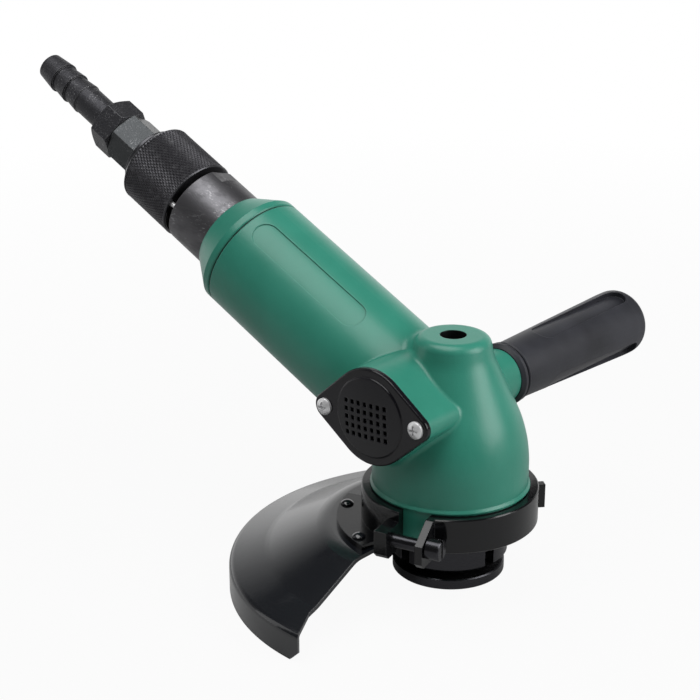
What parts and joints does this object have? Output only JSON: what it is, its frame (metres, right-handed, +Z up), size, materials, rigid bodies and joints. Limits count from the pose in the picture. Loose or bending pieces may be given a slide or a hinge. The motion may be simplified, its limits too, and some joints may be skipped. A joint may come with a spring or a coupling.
{
  "type": "air angle grinder",
  "caption": "Air-driven angle grinder: sloping motor barrel with twist throttle and barbed hose tail, gear head, side handle, vented exhaust cover and half-round wheel guard.",
  "frame": {"origin": "centre of the wheel seat on the spindle line, where the lower face of the wheel flange meets the pilot", "axes": "+Z up the spindle away from the wheel, -X toward the hose end of the barrel, +Y along the side handle"},
  "size_m": [0.3124, 0.2405, 0.2137],
  "materials": {
    "green_paint": "satin paint",
    "black_plastic": "fine grained",
    "felt": "soft",
    "bright_steel": "bright zinc",
    "plain_steel": "machined",
    "bearing_steel": "ground",
    "gunmetal_steel": "satin",
    "black_steel": "oxide black",
    "phosphate_steel": "rough dark",
    "black_paint": "gloss",
    "black_rubber": "matt",
    "grey_iron": "turned",
    "vane_plastic": "laminated",
    "bronze": "turned"
  },
  "bodies": {
    "casing": {"main_casing": "green_paint", "exhaust_cover": "black_plastic", "exhaust_silencer": "felt", "exhaust_screws": "bright_steel", "side_handle": "black_plastic", "handle_stud": "plain_steel", "seam_gasket": "black_rubber", "rear_cap": "green_paint", "throttle_body": "gunmetal_steel", "throttle_stop_pin": "bright_steel", "throttle_o_rings": "black_rubber", "throttle_seat": "bronze", "sleeve_stop_ring": "black_steel", "inlet_bushing": "phosphate_steel", "hose_barb": "phosphate_steel", "front_plate": "grey_iron", "motor_liner": "grey_iron", "rear_plate": "grey_iron", "front_bearing_outer": "bearing_steel", "rear_bearing_outer": "bearing_steel", "lower_bearing_outer": "bearing_steel", "upper_bush": "bronze", "bearing_retainer": "black_steel", "spindle_seal": "black_rubber"},
    "throttle": {"throttle_sleeve": "black_steel", "throttle_drive_pin": "plain_steel", "throttle_valve": "bronze"},
    "rotor": {"rotor": "plain_steel", "rotor_vanes": "vane_plastic", "pinion_key": "plain_steel", "bevel_pinion": "plain_steel", "front_bearing_inner": "bearing_steel", "rear_bearing_inner": "bearing_steel"},
    "spindle": {"spindle": "plain_steel", "wheel_flange": "black_steel", "crown_gear": "plain_steel", "gear_key": "plain_steel", "lower_bearing_inner": "bearing_steel"},
    "front_balls": {"front_bearing_balls": "bearing_steel"},
    "rear_balls": {"rear_bearing_balls": "bearing_steel"},
    "lower_balls": {"lower_bearing_balls": "bearing_steel"},
    "guard": {"guard": "black_paint", "guard_band": "black_paint", "guard_rivets": "black_paint", "clamp_screw": "black_steel"}
  },
  "joints": [
    {"name": "throttle_twist", "type": "hinge", "parent": "casing", "child": "throttle", "pos_m": [-0.17619, 0, 0.15313], "axis": [-0.8943, 0, 0.4474], "range_deg": [0, 60]},
    {"name": "rotor_spin", "type": "hinge", "parent": "casing", "child": "rotor", "pos_m": [-0.07423, 0, 0.10213], "axis": [-0.8943, 0, 0.4474], "continuous": true},
    {"name": "spindle_spin", "type": "hinge", "parent": "casing", "child": "spindle", "pos_m": [0, 0, 0.045], "axis": [0, 0, 1], "continuous": true},
    {"name": "front_balls_roll", "type": "hinge", "parent": "casing", "child": "front_balls", "pos_m": [-0.03801, 0, 0.08401], "axis": [-0.8943, 0, 0.4474], "continuous": true},
    {"name": "rear_balls_roll", "type": "hinge", "parent": "casing", "child": "rear_balls", "pos_m": [-0.1109, 0, 0.12047], "axis": [-0.8943, 0, 0.4474], "continuous": true},
    {"name": "lower_balls_roll", "type": "hinge", "parent": "casing", "child": "lower_balls", "pos_m": [0, 0, 0.038], "axis": [0, 0, 1], "continuous": true},
    {"name": "guard_swivel", "type": "hinge", "parent": "casing", "child": "guard", "pos_m": [0, 0, 0.0335], "axis": [0, 0, 1], "range_deg": [-180, 180]}
  ],
  "couplings": [
    {"joint": "spindle_spin", "follows": "rotor_spin", "ratio": 0.44737},
    {"joint": "front_balls_roll", "follows": "rotor_spin", "ratio": 0.39787},
    {"joint": "rear_balls_roll", "follows": "rotor_spin", "ratio": 0.38},
    {"joint": "lower_balls_roll", "follows": "rotor_spin", "ratio": 0.17027}
  ]
}
